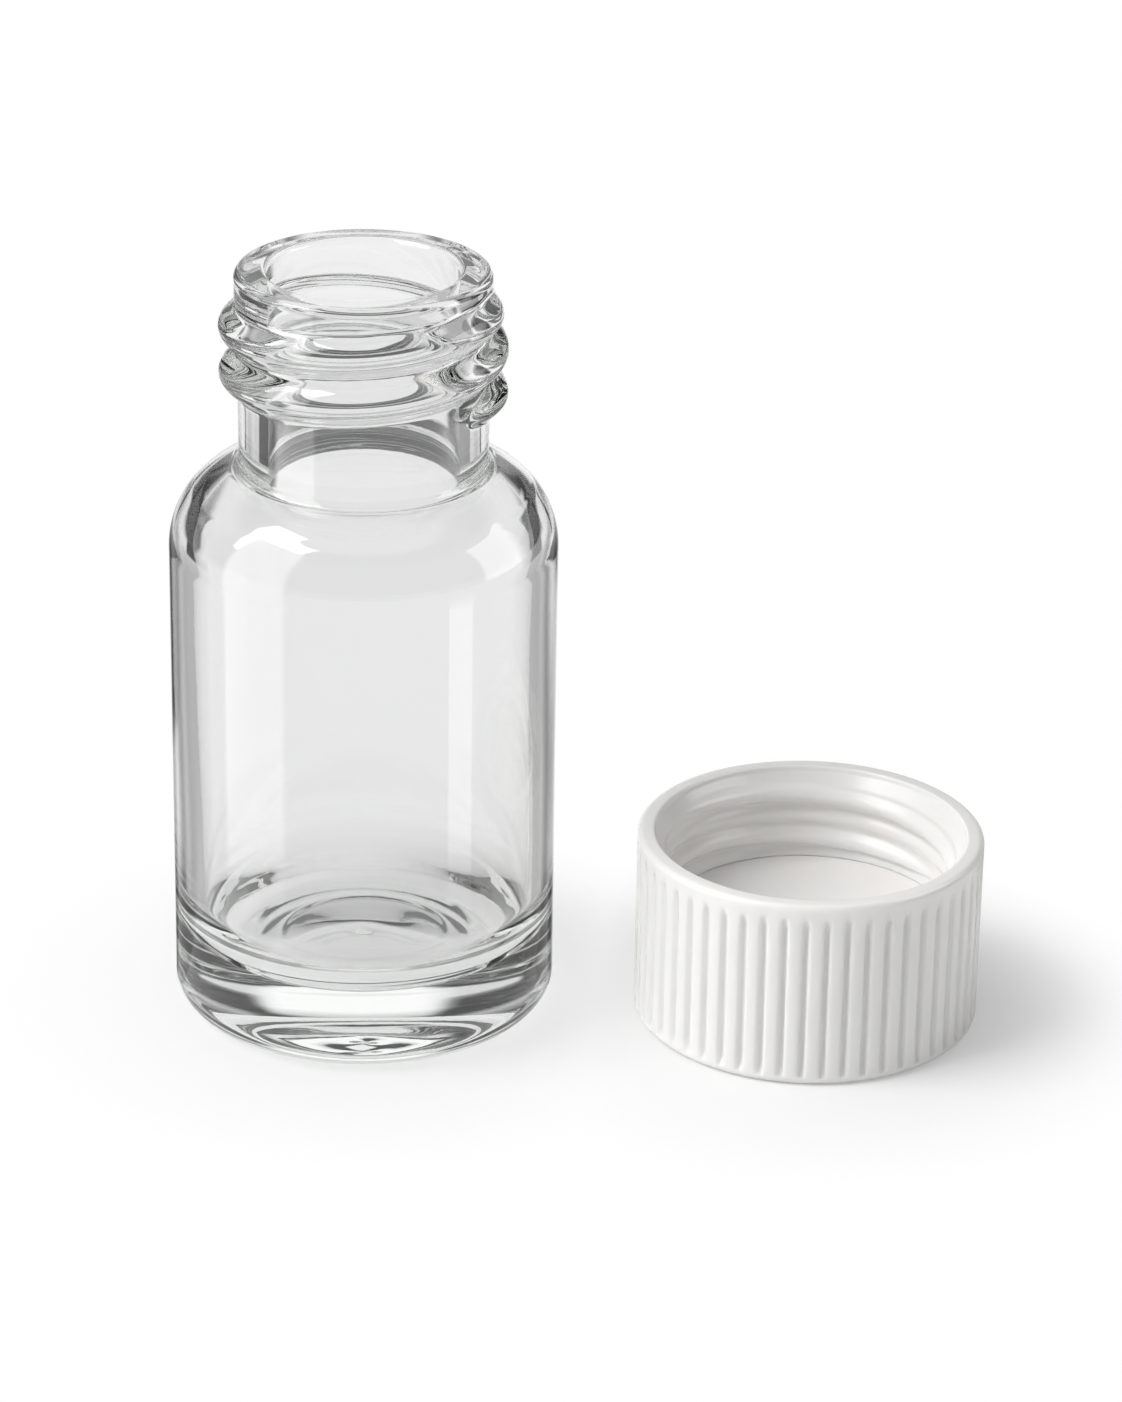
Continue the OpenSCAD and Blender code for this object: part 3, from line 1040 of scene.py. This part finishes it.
    def build_floor(self) -> bpy.types.Object:
        """Lays the pale floor, which keeps the soft shadows."""
        reach = self.floor_reach
        mesh = bpy.data.meshes.new("floor")
        low = -self.floor_drop
        corners = [(x, y, low) for x, y in ((-reach, -reach), (reach, -reach), (reach, reach), (-reach, reach))]
        mesh.from_pydata(corners, [], [(0, 1, 2, 3)])
        floor = bpy.data.objects.new("floor", mesh)
        bpy.context.scene.collection.objects.link(floor)
        material = bpy.data.materials.new("pale_floor")
        material.use_nodes = True
        nodes = NodeTree(material.node_tree)
        shader = material.node_tree.nodes["Principled BSDF"]
        shader.inputs["Base Color"].default_value = (self.floor_albedo,) * 3 + (1,)
        shader.inputs["Roughness"].default_value = 1.0
        shader.inputs["Specular IOR Level"].default_value = 0.0
        place = nodes.add("ShaderNodeTexCoord")
        nearest = nodes.add("ShaderNodeMath", operation="MINIMUM")
        for i, (x, y, radius) in enumerate(self.shadow_zones):
            away = nodes.add("ShaderNodeVectorMath", operation="DISTANCE")
            away.inputs[1].default_value = (x, y, 0)
            past = nodes.add("ShaderNodeMath", operation="SUBTRACT")
            past.inputs[1].default_value = radius
            nodes.join(place.outputs["Object"], away.inputs[0])
            nodes.join(away.outputs["Value"], past.inputs[0])
            nodes.join(past.outputs["Value"], nearest.inputs[i])
        far = nodes.add("ShaderNodeMapRange", interpolation_type="SMOOTHSTEP")
        far.inputs["From Min"].default_value = 0.0
        far.inputs["From Max"].default_value = self.shadow_reach
        far.inputs["To Min"].default_value = self.floor_lift
        glow = nodes.add("ShaderNodeEmission", Strength=1.0)
        mix = nodes.add("ShaderNodeMixShader")
        output = material.node_tree.nodes["Material Output"]
        path = nodes.add("ShaderNodeLightPath")
        first = nodes.add("ShaderNodeMath", operation="LESS_THAN")
        first.inputs[1].default_value = 0.5
        share = nodes.add("ShaderNodeMath", operation="MULTIPLY")
        nodes.join(nearest.outputs["Value"], far.inputs["Value"])
        nodes.join(path.outputs["Diffuse Depth"], first.inputs[0])
        nodes.join(first.outputs["Value"], share.inputs[0])
        nodes.join(far.outputs["Result"], share.inputs[1])
        nodes.join(share.outputs["Value"], mix.inputs[0])
        nodes.join(shader.outputs["BSDF"], mix.inputs[1])
        nodes.join(glow.outputs["Emission"], mix.inputs[2])
        nodes.join(mix.outputs["Shader"], output.inputs["Surface"])
        mesh.materials.append(material)
        return floor

    def build_surroundings(self) -> None:
        """Sets a room that is white behind the glass, darker overhead, and a soft fill."""
        world = bpy.data.worlds.new("studio_room")
        bpy.context.scene.world = world
        world.use_nodes = True
        nodes = NodeTree(world.node_tree)
        for node in list(world.node_tree.nodes):
            world.node_tree.nodes.remove(node)
        place = nodes.add("ShaderNodeTexCoord")
        split = nodes.add("ShaderNodeSeparateXYZ")
        ramp = nodes.add("ShaderNodeValToRGB")
        stops = ramp.color_ramp.elements
        stops.remove(stops[-1])
        for height, tone in self.high_tones:
            stop = stops.new(height) if height else stops[0]
            stop.color = (tone, tone, tone, 1)
        path = nodes.add("ShaderNodeLightPath")
        behind = nodes.add("ShaderNodeMapRange", interpolation_type="SMOOTHSTEP")
        overhead = nodes.add("ShaderNodeMapRange", interpolation_type="SMOOTHSTEP")
        for part, (start, end) in ((behind, self.back_reach), (overhead, self.top_reach)):
            part.inputs["From Min"].default_value = start
            part.inputs["From Max"].default_value = end
            part.inputs["To Min"].default_value = self.near_tone
        open_side = nodes.add("ShaderNodeMath", operation="MAXIMUM")
        room = nodes.add("ShaderNodeMath", operation="MULTIPLY")
        nodes.join(split.outputs["Y"], behind.inputs["Value"])
        nodes.join(split.outputs["Z"], overhead.inputs["Value"])
        nodes.join(behind.outputs["Result"], open_side.inputs[0])
        nodes.join(overhead.outputs["Result"], open_side.inputs[1])
        nodes.join(open_side.outputs["Value"], room.inputs[0])
        nodes.join(ramp.outputs["Color"], room.inputs[1])
        lit = nodes.add("ShaderNodeMath", operation="GREATER_THAN")
        lit.inputs[1].default_value = 0.5
        seen = nodes.add("ShaderNodeMix", data_type="FLOAT")
        seen.inputs[3].default_value = 1.0
        fill = nodes.add("ShaderNodeMix", data_type="FLOAT")
        fill.inputs[3].default_value = self.sky_fill
        background = nodes.add("ShaderNodeBackground")
        output = nodes.add("ShaderNodeOutputWorld")
        nodes.join(place.outputs["Generated"], split.inputs[0])
        nodes.join(split.outputs["Z"], ramp.inputs["Fac"])
        nodes.join(path.outputs["Is Camera Ray"], seen.inputs[0])
        nodes.join(room.outputs["Value"], seen.inputs[2])
        nodes.join(path.outputs["Diffuse Depth"], lit.inputs[0])
        nodes.join(lit.outputs["Value"], fill.inputs[0])
        nodes.join(seen.outputs[0], fill.inputs[2])
        nodes.join(fill.outputs[0], background.inputs["Strength"])
        nodes.join(background.outputs["Background"], output.inputs["Surface"])

    def build_camera(self) -> bpy.types.Object:
        """Sets the camera at the photograph's place, height and slight roll."""
        pitch, roll = math.radians(self.pitch), math.radians(self.roll)
        ahead = Vector((0, math.cos(pitch), -math.sin(pitch)))
        level = Vector((1, 0, 0))
        above = level.cross(ahead)
        right = level * math.cos(roll) + above * math.sin(roll)
        up = above * math.cos(roll) - level * math.sin(roll)
        place = Vector(self.aim) - ahead * self.distance
        lens = bpy.data.cameras.new("camera")
        lens.lens = self.focal_px * self.sensor_mm / max(self.frame_px)
        lens.sensor_width = self.sensor_mm
        lens.clip_start = 0.01
        camera = bpy.data.objects.new("camera", lens)
        turn = Matrix((right, up, -ahead)).transposed()
        camera.matrix_world = Matrix.Translation(place) @ turn.to_4x4()
        bpy.context.scene.collection.objects.link(camera)
        bpy.context.scene.camera = camera
        return camera

    def deepen_light_paths(self) -> None:
        """Lets light mirror often enough inside the thick glass to come out again."""
        paths = bpy.context.scene.cycles
        paths.max_bounces = self.all_bounces
        paths.transmission_bounces = self.all_bounces
        paths.glossy_bounces = self.mirror_bounces

    def build(self) -> None:
        """Builds the floor, the room, the lamps, the cards and the camera."""
        self.build_floor()
        self.build_surroundings()
        for lamp in self.lamps:
            lamp.build()
        for card in self.cards:
            card.build()
        self.build_camera()
        self.deepen_light_paths()
        bpy.context.scene.view_settings.view_transform = "Standard"


def main() -> None:
    """Builds the pieces in order, reports each one, and sets the studio."""
    logging.basicConfig(level=logging.INFO, format="%(name)s: %(message)s")
    unevenness = unevenness_group()
    pieces = (
        GlassVial().build(CLEAR_GLASS.material(unevenness)),
        ScrewCap().build(WHITE_PLASTIC.material(unevenness)),
        CapLiner().build(SOFT_LINER.material(unevenness)),
    )
    for piece in pieces:
        log.info("%s has %d faces", piece.name, len(piece.data.polygons))
    Studio().build()


if __name__ == "__main__":
    main()
